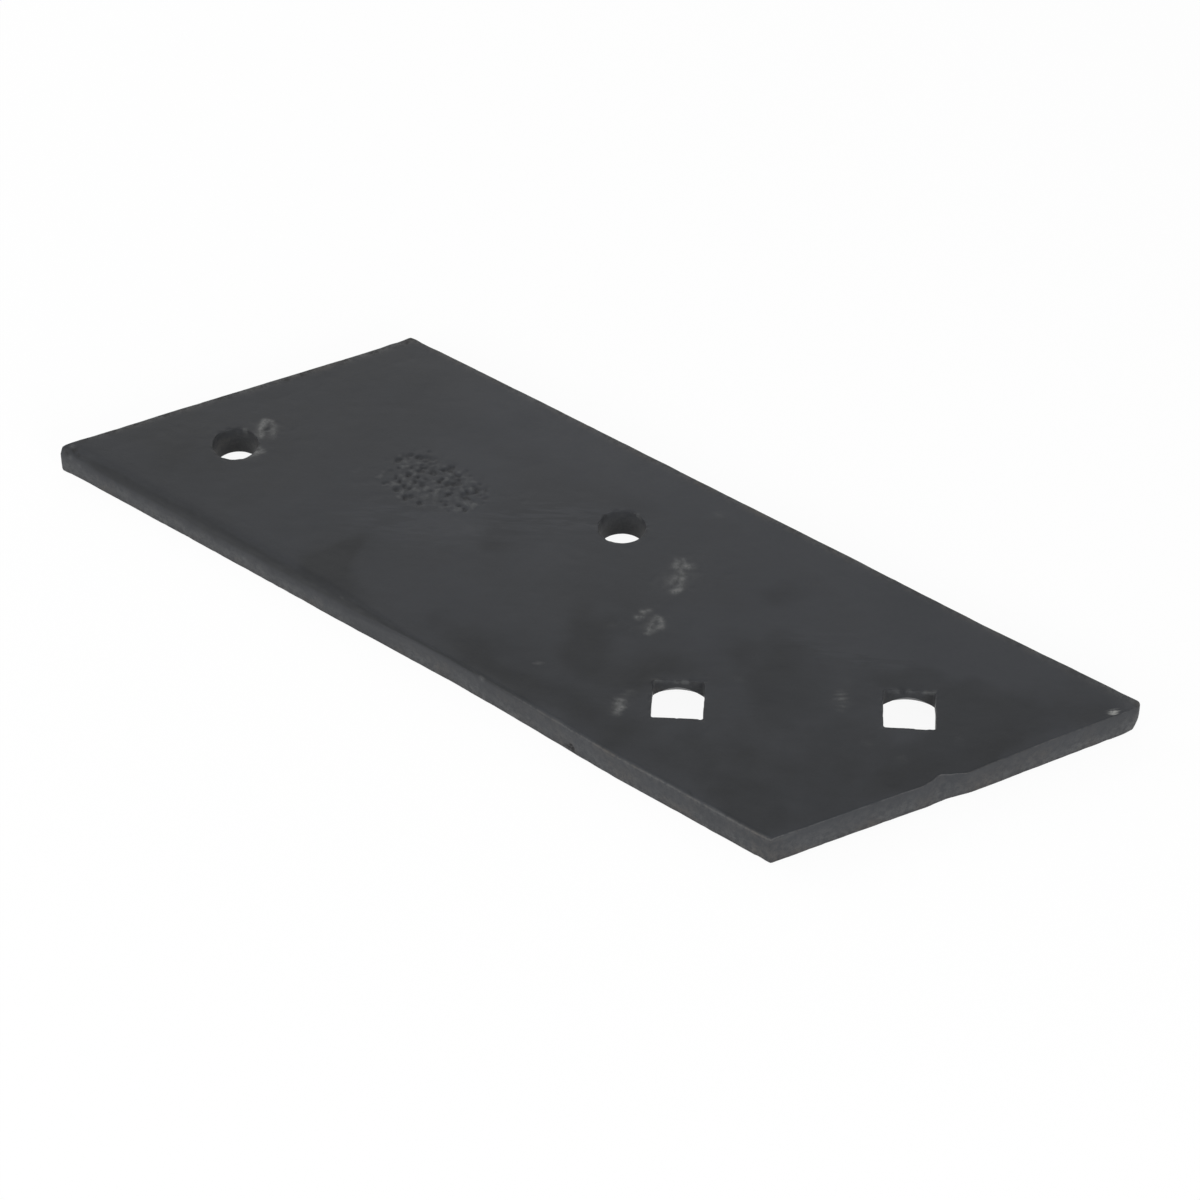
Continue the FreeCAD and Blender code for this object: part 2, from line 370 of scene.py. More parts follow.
dipCover = {
    # clouds where it lay thicker or the plate is handled, which also paint shade over the top: centre, half
    # sizes, turn if any, strength
    "clouds": [
        (-65, -54, 12.5, 8, 0.85), (-70, -43, 6, 8, 0.55), (-2, -55, 30, 7, 0.54),
        (40, -54, 22, 8, 0.55), (26, -25, 19, 9, -45, 0.85), (53, -22, 8, 12, 0.46),
        (84, -1, 19, 12.5, -10, 0.8), (127, 27, 13, 7, 1.3), (151, 24, 13, 9, 60, 0.85),
        (153, 5, 8, 10, 0.85), (142, -12, 9, 10, 0.65), (113, -55, 12, 8, 1),
        (90, -42, 14, 13, 0.45), (118, -31, 12, 12, 0.5), (170, 40, 9, 18, -27, 0.35),
        (62, 33, 7, 5, 0.4), (-30, -7, 8, 5, 0.4), (120, -8, 26, 22, 0.3),
        (100, 14, 18, 14, 0.16), (-150, -38, 22, 15, 0.34),
    ],
    # how far noise moves the clouds' outlines: its size, reach and seeds
    "drift": [(13, 5, (41, 42)), (4.5, 1.8, (43, 44))],
    # how uneven it makes their strength: its size, amount and seed
    "uneven": [(9, 0.13, 45), (3.2, 0.07, 46)],
    "cloudEdge": (0.1, 0.72),  # strengths where a cloud begins and where it is full
    # wide areas where it lies thinner, also painted light, and, below zero, thicker, also painted shade:
    # centre, half sizes, turn if any, strength
    "dipAndShadingAreas": [
        (-55, 50, 55, 12, 0.85), (15, 60, 80, 7, 0.88), (98, 54, 40, 7, 0.84),
        (70, 40, 60, 16, 0.2), (-65, 22, 22, 11, 0.5), (-14, 0, 9, 11, 0.44),
        (-47, -11, 16, 7, 33, 0.46), (-50, -2, 6, 13, 0.34), (95, 9, 10, 7, 0.46),
        (19.5, -12.5, 5, 6, 0.85), (31, -56, 10, 5, 0.55), (-102, 45, 10, 9, -0.26),
        (-128, -20, 14, 14, -0.22), (-135, -48, 24, 10, -0.25), (-68, -39, 15, 13, -0.48),
        (-31, 4, 8, 8, -0.46), (-4, 37, 9, 5, -0.34), (8, -45, 26, 11, -0.76),
        (25, -10, 19, 14, -0.52), (56, 30, 18, 18, -0.26), (45, -31, 8.5, 9, -0.8),
        (64, -56, 30, 10, -0.74), (66, -14, 24, 8, -0.42), (93, -33, 24, 16, -0.46),
        (130, -41, 10, 13, -27, -1), (143, -11, 7, 20, -20, -0.46), (160, 17, 7, 16, -27, -0.4),
        (165, 50, 10, 12, -0.32), (174.5, 45, 4.5, 8, -27, -0.8),
    ],
    # painted light: the top grows steadily lighter towards the front and darker towards the rear; the place
    # this is reckoned from, and how much lighter it gets each mm on
    "paintedLightSlope": (-20, 0.003),
    # where a rag wiped it off in streaks: centre, half sizes, turn
    "wipes": [(-55, -11, 25, 9, 33), (-20, 18, 16, 7, 33), (96, 24, 18, 5, 20)],
}


def ramp(value, start, end):
    # 0 before the start, 1 past the end and eased between them; it may run downwards
    share = np.clip((value - start) / (end - start), 0, 1)
    return share * share * (3 - 2 * share)


def bell(value, centre, half):
    # 1 at the centre, about a third of that half a width away
    return np.exp(-((value - centre) / half) ** 2)


# Value noise from -1 to 1: random numbers on a lattice of the given size in mm,
# blended smoothly between the eight lattice points around each place
def latticeNoise(points, size, seed):
    place = (points - points.min(axis=0)) / size
    cell = np.floor(place).astype(int)
    blend = ramp(place - cell, 0, 1)
    table = np.random.default_rng(seed).uniform(-1, 1, cell.max(axis=0) + 2)
    total = np.zeros(len(points))
    for corner in np.ndindex(2, 2, 2):
        share = np.prod(np.where(corner, blend, 1 - blend), axis=1)
        at = cell + np.array(corner)
        total += share * table[at[:, 0], at[:, 1], at[:, 2]]
    return total


def noiseSum(points, layers):
    # noises of several sizes added up
    return sum(amount * latticeNoise(points, size, seed) for size, amount, seed in layers)


def noisePair(points, size, seeds):
    # two noises side by side, for moving places in plan
    return np.stack([latticeNoise(points, size, seed) for seed in seeds], axis=1)


# Spots: each cell of a plan grid holds one at a random place, sunk or raised by a random amount, and a
# point takes the sum of the soft spots in its own cell and the eight round it
def spotNoise(flat, size, seed):
    place = (flat - flat.min(axis=0)) / size + 1
    cell = np.floor(place).astype(int)
    table = np.random.default_rng(seed).uniform(0, 1, (*(cell.max(axis=0) + 2), 3))
    total = np.zeros(len(flat))
    for near in np.ndindex(3, 3):
        at = cell + np.array(near) - 1
        spot = table[at[:, 0], at[:, 1]]
        away = np.linalg.norm(place - at - spot[:, :2], axis=1)
        total += (2 * spot[:, 2] - 1) * np.exp(-(away / 0.5) ** 2)
    return total


def atLines(lines, number):
    # line positions at whole and broken line numbers
    return np.interp(number, np.arange(len(lines)), lines)


def sheetGrid(u, w, z):
    return sheetPoint(*np.meshgrid(u, w, indexing="ij"), z).reshape(-1, 3)


def splitEdge(corners, edge, times):
    # line numbers at the four corners of each cell, with more of them spread along one edge
    first, last = corners[:, [edge]], corners[:, [(edge + 1) % 4]]
    between = first + (last - first) * np.arange(1, times) / times
    return np.concatenate([corners[:, :edge + 1], between, corners[:, edge + 1:]], axis=1)


# Flat sheet on the slanted grid, with the cells of the hole blocks left out and the zones filled
# by a finer grid; the cells round a zone take the finer points into their shared edge
def faceSheet(z, blocks, zones, flip):
    quads = gridFaces(len(uLines), len(wLines), flip=flip)
    keep = np.ones(quads.shape[:2], bool)
    times = plate["fineTimes"]
    for u0, u1, w0, w1 in blocks + zones:
        keep[u0:u1, w0:w1] = False
    parts = []
    for u0, u1, w0, w1 in zones:
        uFine = atLines(uLines, np.arange((u1 - u0) * times + 1) / times + u0)
        wFine = atLines(wLines, np.arange((w1 - w0) * times + 1) / times + w0)
        fineQuads = gridFaces(len(uFine), len(wFine), flip=flip)
        parts.append((sheetGrid(uFine, wFine, z), fineQuads.reshape(-1, 4)))
        # collar cells on the four sides: the edge that takes the extra points, then the cells
        along, across = np.arange(u0, u1), np.arange(w0, w1)
        for edge, *cells in ((0, along, w1), (2, along, w0 - 1), (3, u1, across), (1, u0 - 1, across)):
            cellsU, cellsW = np.broadcast_arrays(*cells)
            keep[cellsU, cellsW] = False
            ringU = splitEdge(np.stack([cellsU, cellsU + 1, cellsU + 1, cellsU], axis=1), edge, times)
            ringW = splitEdge(np.stack([cellsW, cellsW, cellsW + 1, cellsW + 1], axis=1), edge, times)
            ringPoints = sheetPoint(atLines(uLines, ringU), atLines(wLines, ringW), z)
            faces = np.arange(ringU.size).reshape(ringU.shape)
            parts.append((ringPoints.reshape(-1, 3), faces[:, ::-1] if flip else faces))
    parts.append((sheetGrid(uLines, wLines, z), quads[keep]))
    return parts


# The rim: a profile carried round the outline. It comes in over the top face, turns the arris on a
# quarter circle, goes down the side, turns the lower arris and runs in under the plate.
def rimBand():
    arris = plate["arris"]
    turnTop = np.linspace(0, math.pi / 2, 6)
    turnLow = np.linspace(0, math.pi / 2, 5)
    topInsets = np.array([plate["rimStrip"], 7.2, 5.8, 4.6, 3.6, 2.8, 2.1, 1.6, 1.2, 0.9])
    sideDepths = np.array([0.9, 1.2, 1.6, 2.1, 2.8, 3.6, 4.6, 5.8, 7.0, 8.2, 9.3, 10.0])
    lowInsets = np.array([0.9, 1.6, 3.0, 5.5, plate["rimStrip"]])
    insets = np.concatenate([topInsets, arris * (1 - np.sin(turnTop)), 0 * sideDepths,
                             arris * (1 - np.cos(turnLow)), lowInsets])
    heights = np.concatenate([0 * topInsets + thickness, thickness - arris * (1 - np.cos(turnTop)),
                              thickness - sideDepths, arris * (1 - np.sin(turnLow)), 0 * lowInsets])
    side = np.repeat(np.arange(4), [len(uLines) - 1, len(wLines) - 1] * 2)
    fraction = np.concatenate([uLines[:-1], wLines[:-1], (1 - uLines[::-1])[:-1], (1 - wLines[::-1])[:-1]])
    flat = outlinePoint(insets[:, None], side[None, :], fraction[None, :])
    points = np.concatenate([flat, np.broadcast_to(heights[:, None, None], flat.shape[:2] + (1,))], axis=2)
    return [(points.reshape(-1, 3), gridFaces(len(insets), len(side), wrap=True).reshape(-1, 4))]


def blockRing(block):
    # plan points round a hole's block, anticlockwise, one for each grid line they cross
    u0, u1, w0, w1 = block
    along, across = u1 - u0, w1 - w0
    u = [uLines[u0:u1], np.full(across, uLines[u1]), uLines[u1:u0:-1], np.full(across, uLines[u0])]
    w = [np.full(along, wLines[w0]), wLines[w0:w1], np.full(along, wLines[w1]), wLines[w1:w0:-1]]
    return sheetPoint(np.concatenate(u), np.concatenate(w), 0.0)[:, :2]


# A hole's rings, each a plan ring and its height, joined by faces. They carry twice the points of the grid's
# opening, so the first and the last row of faces, out to the opening on both faces, have five corners each
def holeParts(outer, rows):
    count = len(outer)
    grid = np.stack([np.column_stack([flat, np.broadcast_to(z, 2 * count)]) for flat, z in rows])
    at = np.arange(count)
    after = (at + 1) % count
    inner = np.stack([2 * at, 2 * at + 1, (2 * at + 2) % (2 * count)], axis=1)
    openings = [np.column_stack([outer, np.full(count, z)]) for z in (thickness, 0.0)]
    topFaces = np.column_stack([after, count + inner[:, ::-1], at])
    lowFaces = np.column_stack([inner[:, 2], 2 * count + after, 2 * count + at, inner[:, :2]])
    return [(np.concatenate([openings[0], grid[0]]), topFaces),
            (grid.reshape(-1, 3), gridFaces(len(rows), 2 * count, wrap=True, flip=True).reshape(-1, 4)),
            (np.concatenate([grid[-1], openings[1]]), lowFaces)]


def holeStart(centre, block):
    # the opening in the grid, the same ring with midpoints, the centre and the ring's angles round it
    opening, centre = blockRing(block), np.array(centre)
    outer = np.stack([opening, (opening + np.roll(opening, -1, axis=0)) / 2], axis=1).reshape(-1, 2)
    return opening, outer, centre, np.arctan2(*(outer - centre).T[::-1])


def lipRows(mouth, lip):
    # the mouth's worn lip, a quarter circle: mouth gives the hole's ring drawn wider by a distance
    return [(mouth(lip * (1 - math.sin(angle))), thickness - lip * (1 - math.cos(angle)))
            for angle in np.linspace(0, math.pi / 2, 5)]


# A round hole: rings shrink from the grid's opening to the mouth, turn its worn lip,
# go down the bore, and open out again under the plate
def roundHole(centre, block):
    opening, outer, centre, polar = holeStart(centre, block)
    lip, ends = roundHoles["mouth"], roundHoles["boreEnds"]

    def mouth(grow):
        return centre + direction(polar) * (roundHoles["diameter"] / 2 + grow)

    rows = [(outer + (mouth(lip) - outer) * share, thickness) for share in roundHoles["topRings"]]
    rows += lipRows(mouth, lip)
    rows += [(mouth(0), z) for z in np.linspace(thickness - ends, ends, roundHoles["boreRings"])]
    for angle in np.linspace(0, math.pi / 2, 4):
        rows.append((mouth(lip * (1 - math.cos(angle))), lip * (1 - math.sin(angle))))
    rows += [(mouth(lip) + (outer - mouth(lip)) * share, 0) for share in roundHoles["lowRings"]]
    return holeParts(opening, rows)


# A rounded square: four straights and four quarter arcs; the whole number of the
# parameter is the side and the last part of it goes round the corner
def squareOutline(param, grow):
    arcShare = squareHoles["cornerShare"]
    half, radius = squareHoles["side"] / 2 + grow, squareHoles["cornerRadius"] + grow
    side = np.floor(param)
    part = param - side
    turn = np.radians(90 * side + squareHoles["turn"])
    normal, tangent = direction(turn), direction(turn + math.pi / 2)
    reach = np.clip(part / (1 - arcShare), 0, 1) * 2 - 1
    straight = normal * half + tangent * (reach * (half - radius))[:, None]
    bend = np.clip((part - 1 + arcShare) / arcShare, 0, 1) * math.pi / 2
    arc = (normal + tangent) * (half - radius) + direction(turn + bend) * radius
    return np.where((part < 1 - arcShare)[:, None], straight, arc)


# A plough-bolt hole: a square neck goes straight down until it meets the cone that is sunk
# from below, so the meeting line rises in the middle of each wall and falls at the corners
def squareHole(centre, block):
    opening, outer, centre, polar = holeStart(centre, block)
    # a side's whole number lies half a straight before its middle, and 8 keeps all of them above zero
    param = (np.unwrap(polar) - math.radians(squareHoles["turn"])) / (math.pi / 2)
    param += (1 - squareHoles["cornerShare"]) / 2 + 8
    lip, sink, worn = squareHoles["mouth"], squareHoles["sinkRadius"], squareHoles["sinkMouth"]
    steep = math.tan(math.radians(squareHoles["sinkAngle"] / 2))

    def mouth(grow):
        return centre + squareOutline(param, grow)

    rows = [(outer + (mouth(lip) - outer) * share, thickness) for share in squareHoles["topRings"]]
    rows += lipRows(mouth, lip)
    neck = squareOutline(param, 0)
    reach = np.linalg.norm(neck, axis=1)
    meeting = (sink - reach) / steep
    below = thickness - lip
    rows += [(centre + neck, below + (meeting - below) * share) for share in squareHoles["neckRings"]]
    outward = neck / reach[:, None]
    for share in squareHoles["sinkRings"]:
        radius = reach + (sink - reach) * share
        rows.append((centre + outward * radius[:, None], (sink - radius) / steep))
    rows.append((centre + outward * (sink + 0.02), 0.3 * worn))
    lastRing = centre + outward * (sink + worn)
    rows.append((lastRing, 0))
    rows += [(lastRing + (outer - lastRing) * share, 0) for share in squareHoles["lowRings"]]
    return holeParts(opening, rows)


def joinParts(name, parts):
    # all parts in one mesh, their shared rows welded
    offsets = np.cumsum([0] + [len(points) for points, faces in parts])
    points = np.concatenate([points for points, faces in parts]) * mm
    corners = np.concatenate([(faces + start).ravel() for (_, faces), start in zip(parts, offsets)])
    sizes = np.concatenate([np.full(len(faces), faces.shape[1]) for _, faces in parts])
    mesh = bpy.data.meshes.new(name)
    mesh.vertices.add(len(points))
    mesh.loops.add(len(corners))
    mesh.polygons.add(len(sizes))
    mesh.vertices.foreach_set("co", points.ravel().astype(np.float32))
    mesh.loops.foreach_set("vertex_index", corners.astype(np.int32))
    mesh.polygons.foreach_set("loop_start", np.concatenate([[0], np.cumsum(sizes)[:-1]]).astype(np.int32))
    mesh.polygons.foreach_set("use_smooth", np.ones(len(sizes), bool))
    mesh.update(calc_edges=True)
    mesh.validate()
    work = bmesh.new()
    work.from_mesh(mesh)
    bmesh.ops.remove_doubles(work, verts=work.verts, dist=0.002 * mm)
    openEdges = sum(1 for edge in work.edges if not edge.is_manifold)
    work.to_mesh(mesh)
    work.free()
    print(name, len(mesh.vertices), "points,", sum(len(p.vertices) - 2 for p in mesh.polygons), "triangles,",
          openEdges, "open edges")
    return mesh


# The near arris worn round: a point outside the quarter circle is drawn back to it, straight
# towards its centre, and the circle closes up from broad to tight along the edge
def rollNearArris(points):
    x, y, z = points.T
    closing = ramp(x, plate["rollBroadTo"], plate["rollTightFrom"])
    radius = plate["rollBroad"] + (plate["rollTight"] - plate["rollBroad"]) * closing
    acrossCentre, downCentre = -width / 2 + radius, thickness - radius
    across, up = y - acrossCentre, z - downCentre
    reach = np.hypot(across, up)
    outside = (across < 0) & (up > 0) & (reach > radius)
    shrink = np.where(outside, radius / np.maximum(reach, tiny), 1)
    return np.stack([x, np.where(outside, acrossCentre + across * shrink, y),
                     np.where(outside, downCentre + up * shrink, z)], axis=1)


edges = {
    # how far each edge stands in from a straight line, along x or, at the ends, along the end (mm)
    "nearBow": [
        (-186, 0), (-171, 0.27), (-146, 0.48), (-122, 0.74), (-97, 0.92), (-61, 1.06), (-30, 1.36),
        (-6, 1.66), (12, 1.4), (24, 1.18), (37, 0.76), (49, 0.32), (61, 0), (85, 0.1), (104, 0.22),
        (124, 0.25),
    ],
    "farBow": [
        (-128, 2.4), (-121, 1.25), (-111, 0.62), (-85, 0.48), (-61, 0.28), (0, 0.34), (61, 0.28), (73, 0.27),
        (85, 0.48), (100, 0.64), (122, 0.68), (146, 0.4), (158, 0.18), (171, 0.02), (186, 0),
    ],
    "rearBow": [
        (0, -1.7), (8, -0.55), (16, -0.12), (25, 0), (45, 0.06), (70, 0.2), (97, 0.27), (108, 0.5),
        (116, 0.6), (138, 0.6),
    ],
    # front end, from the near corner: how far it stands out, at the top and at the bottom
    "frontTop": [
        (0, -1), (30, -0.6), (47, -0.35), (54, -0.05), (58, -0.7), (62, -2.2), (66, -0.6), (71, 1.1),
        (75, 0.8), (83, 0.5), (111, 0), (138, -0.4),
    ],
    "frontLow": [
        (0, -0.2), (20, -0.24), (47, 0), (56, 0.18), (61, -0.1), (65, -0.18), (68, 0.14), (73.5, 0.62),
        (82, 0.62), (91, 0.34), (118, 0.04), (138, -0.1),
    ],
    # unevenness of the long edges: mm each way, then the noise's size and seed
    "uneven": 0.05,
    "nearNoise": ((9, 60, 7), 3),
    "farNoise": ((12, 60, 9), 4),
    # lower edge of the far front corner, blunted: reach along, reach up, depth
    "bluntCorner": (8.0, 6.0, 1.5),
}


def smoothTrack(track, at):
    # through the listed values, eased between them
    places, values = np.array(track, float).T
    cell = np.clip(np.searchsorted(places, at) - 1, 0, len(places) - 2)
    return values[cell] + (values[cell + 1] - values[cell]) * ramp(at, places[cell], places[cell + 1])


# The outline as it was sheared and worn: points near an edge move in or out in plan, fading to nothing
# at the inner side of the rim's strip
def shapeOutline(points):
    x, y, z = points.T
    strip = plate["rimStrip"]
    along, outward = direction(slope), direction(slope - math.pi / 2)
    fromRear = points[:, :2] - cornerPoints[3]
    fromFront = points[:, :2] - cornerPoints[1]
    height = z / thickness
    top, low = [smoothTrack(edges[name], fromFront @ along) for name in ("frontTop", "frontLow")]
    endMove = (top * height + low * (1 - height)) * ramp(-(fromFront @ outward), strip, 0)
    endMove += smoothTrack(edges["rearBow"], -(fromRear @ along)) * ramp(fromRear @ outward, strip, 0)
    flat = points[:, :2] + outward * endMove[:, None]
    for bow, noise, inset, inward in (("nearBow", "nearNoise", y + width / 2, 1),
                                      ("farBow", "farNoise", width / 2 - y, -1)):
        uneven = edges["uneven"] * (1 + latticeNoise(points, *edges[noise]))
        flat[:, 1] += inward * (smoothTrack(edges[bow], x) + uneven) * ramp(inset, strip, 0)
    # the blunted lower corner at the front
    reachAlong, reachUp, depth = edges["bluntCorner"]
    away = np.linalg.norm(points[:, :2] - cornerPoints[2], axis=1)
    amount = depth * ramp(away, reachAlong, 0) * np.clip(1 - z / reachUp, 0, 1) ** 1.6
    flat -= direction(crownTurns[2]) * amount[:, None]
    return np.column_stack([flat, z])


def strokeMask(flat, line, half):
    # distance to a short line, turned to a soft bead: 1 on the line, a third of that at its half width
    start, run = line[:2], np.subtract(line[2:], line[:2])
    share = np.clip((flat - start) @ run / (run @ run), 0, 1)
    away = np.linalg.norm(flat - start - share[:, None] * run, axis=1)
    return np.exp(-1.1 * (away / half) ** 2)


def turnedBy(flat, degrees):
    # plan places as seen from axes turned by the angle
    turn = math.radians(degrees)
    return flat @ np.array([[math.cos(turn), -math.sin(turn)], [math.sin(turn), math.cos(turn)]])


def ovalReach(flat, cx, cy, rx, ry, degrees=0):
    # 0 at the middle of an oval, 1 on its outline
    return np.linalg.norm(turnedBy(flat - (cx, cy), degrees) / (rx, ry), axis=1)


def softOval(flat, oval, tightness=1.0):
    # 1 in the middle, falling off all round, the sooner the tighter
    return np.exp(-tightness * ovalReach(flat, *oval) ** 2)


# Distance in plan from the edge of the nearest hole's mouth, positive outside it
def mouthDistance(flat):
    gaps = [np.linalg.norm(flat - centre, axis=1) - roundHoles["diameter"] / 2
            for centre in roundHoles["centres"]]
    gaps += [np.abs(turnedBy(flat - centre, squareHoles["turn"])).max(axis=1) - squareHoles["side"] / 2
             for centre in squareHoles["centres"]]
    return np.min(gaps, axis=0)


# Clouds of thicker dip, which also carry painted shade: soft ovals added up, their places moved by noise, and
# the sum cut with a soft, uneven edge so that near ones run together
def cloudField(shaped):
    drift = sum(reach * noisePair(shaped, size, seeds) for size, reach, seeds in dipCover["drift"])
    total = sum(strength * softOval(shaped[:, :2] + drift, oval, 0.7) for *oval, strength in dipCover["clouds"])
    return ramp(total + noiseSum(shaped, dipCover["uneven"]), *dipCover["cloudEdge"])


def readVectors(layer, name, count):
    values = np.empty(count * 3, np.float32)
    layer.foreach_get(name, values)
    return values.reshape(-1, 3).astype(float)


# What handling and use have done, and some painted shade with it, in mm

wear = {
    # relief: the noise's size, along x, y and z where they differ, its height and its seed
    "wavesOnTop": [(38, 0.05, 11), (11, 0.035, 12)],
    "waves": [((6, 2.6, 3), 0.02, 13), (1.3, 0.012, 14)],
    "wavesOnSides": [((8, 8, 4), 0.08, 15), (2.6, 0.05, 16)],
    "room": 0.03,              # how far in the skin lies, so that the waves stay inside the CAD box
    "roomOnTop": 0.1,          # further in on top
    "wander": 0.55,            # how far fine noise moves the marks' outlines
    "arrisChips": 0.16,        # depth
    "mouthChips": 0.18,
    # shares, from 0 to 1 or a little over
    "mouthRub": 0.22,
    "mouthDark": 0.8,
    # painted shade in the rough patch's sunk spots
    "roughPaintedShade": 0.7,
    "lowSideDark": 0.6,          # low on the sides
    "edgeDirt": 0.6,           # along the far and the rear edge
    "rearSpots": 1.1,
    # how unevenly the sides are rubbed and lightened
    "sideMottle": [((20, 20, 9), 0.22, 61), ((5, 5, 3), 0.35, 62)],
}


# The marks, broken up by noise as fine as they are wide: strokes stand up and are rubbed bright, haze is
# only rubbed, hollows are sunk
def drawMarks(shaped, wander):
    flat = shaped[:, :2]
    broken = 0.8 + 0.45 * latticeNoise(shaped, 1.4, 23)
    relief, bare = np.zeros((2, len(flat)))
    for *line, half, rise, bright in marks["strokes"]:
        mask = strokeMask(flat + wander, line, half) * broken
        relief += mask * rise
        bare = np.maximum(bare, mask * bright)
    for *oval, bright in marks["haze"]:
        bare += bright * softOval(flat + 2 * wander, oval, 1.4) * broken
    for cx, cy, radius, depth in marks["hollows"]:
        relief -= depth * ramp(ovalReach(flat + wander, cx, cy, radius, radius), 1.2, 0.2)
    return relief, bare


# The rough patch: ovals run together, filled with spots that are sunk or raised. Towards the far edge
# more of them are sunk
def roughSpots(shaped, wander):
    flat = shaped[:, :2]
    rough = sum(ramp(ovalReach(flat + 4 * wander, *part), 1.2, 0.7) for part in marks["roughParts"])
    rough = np.minimum(rough, 1) * ramp(latticeNoise(shaped, 4.5, 33), -1.0, -0.3)
    spots = spotNoise(turnedBy(flat, marks["roughTurn"]), marks["roughSpot"], 31)
    spots += 0.4 * latticeNoise(shaped, 1.2, 32) - 0.24 * np.clip((flat[:, 1] - 4) / 6, -0.6, 1)
    return rough * ramp(spots, -0.02, -0.77), rough * ramp(spots, 0.02, 0.77)


# How far the dip is rubbed through, with painted light laid in with the rub. The sides are rubbed and lightened
# most near the floor as painted bounce light, less where the roll closes up and more at the far front corner,
# and the hole walls are lightened as painted light; the tight near arris is rubbed and carries a painted
# highlight, and the others and the far and rear edge strip carry a painted highlight here and there
def rubAndPaintedLightLayers(shaped, tilt, inBore, strip):
    x, y, z = shaped.T
    height, upward = z / thickness, np.clip(tilt, 0, 1)
    # painted light: the hole walls are lightened, less near their top, and the rim's sides most near the floor
    # as painted bounce light, both on top of the rub
    onBore = 0.65 - 0.25 * ramp(height, 0.66, 0.86)
    onRim = np.clip(1.5 - 1.6 * height, 0.1, 1.3)
    sideRubAndPaintedLight = ramp(np.abs(tilt), 0.6, 0.05) * np.where(inBore > 0.5, onBore, onRim)
    sideRubAndPaintedLight *= 0.9 + noiseSum(shaped, wear["sideMottle"])
    sideRubAndPaintedLight *= 1 - 0.6 * bell(x, -42, 18) * (1 - inBore)
    sideRubAndPaintedLight *= 1 + 0.7 * bell(np.linalg.norm(shaped[:, :2] - cornerPoints[2], axis=1), 0, 6)
    # painted highlight: a bright band round the arrises along with the rub, on the near rim also just below the
    # arris on the side, and along the far and rear edge strip
    arrisRubAndHighlight = bell(upward, 0.42, 0.25) * (1 - inBore) * (height > 0.5)
    below = 0.5 * bell(z, 9.4, 1.1) * ramp(np.abs(tilt), 0.75, 0.25)
    nearRubAndHighlight = np.maximum(1.25 * arrisRubAndHighlight, below) * ramp(x, 5, 55)
    onNearRim = y + width / 2 < 9.5
    return sideRubAndPaintedLight, np.where(onNearRim, nearRubAndHighlight, np.maximum(0.8 * arrisRubAndHighlight, 1.5 * strip))


# How thick the dip lies, with painted light and shade carried in it, above zero where it is darker than usual:
# in the clouds, which are thicker dip and painted shade, and on the broad roll, whose band is painted shade all
# along but at the rear corner, less the areas where it is thinner and painted light falls, and less a painted
# slope of light towards the front
def dipAndShadingLayers(shaped, tilt, onTop):
    x, y = shaped[:, 0], shaped[:, 1]
    nearRim = ramp(y + width / 2, 11, 8)
    # painted shade: a dark band on the broad roll where it tilts, fading out at the rear corner
    rollPaintedShade = bell(np.clip(tilt, 0, 1), 0.62, 0.26) * nearRim * ramp(x, 40, 10)
    rollPaintedShade *= 1.6 + 0.4 * latticeNoise(shaped, (13, 13, 5), 63)
    rollPaintedShade *= 0.1 + 0.9 * ramp(x, -181, -167)
    slopeFrom, lightPerMm = dipCover["paintedLightSlope"]
    thinnerAndLit = sum(strength * softOval(shaped[:, :2], oval) for *oval, strength in dipCover["dipAndShadingAreas"])
    # painted light: a steady slope, lighter towards the front
    thinnerAndLit += lightPerMm * (x - slopeFrom)
    wiped = sum(softOval(shaped[:, :2], oval) for oval in dipCover["wipes"])
    return np.maximum(cloudField(shaped) * onTop, rollPaintedShade) - thinnerAndLit * onTop, wiped * onTop


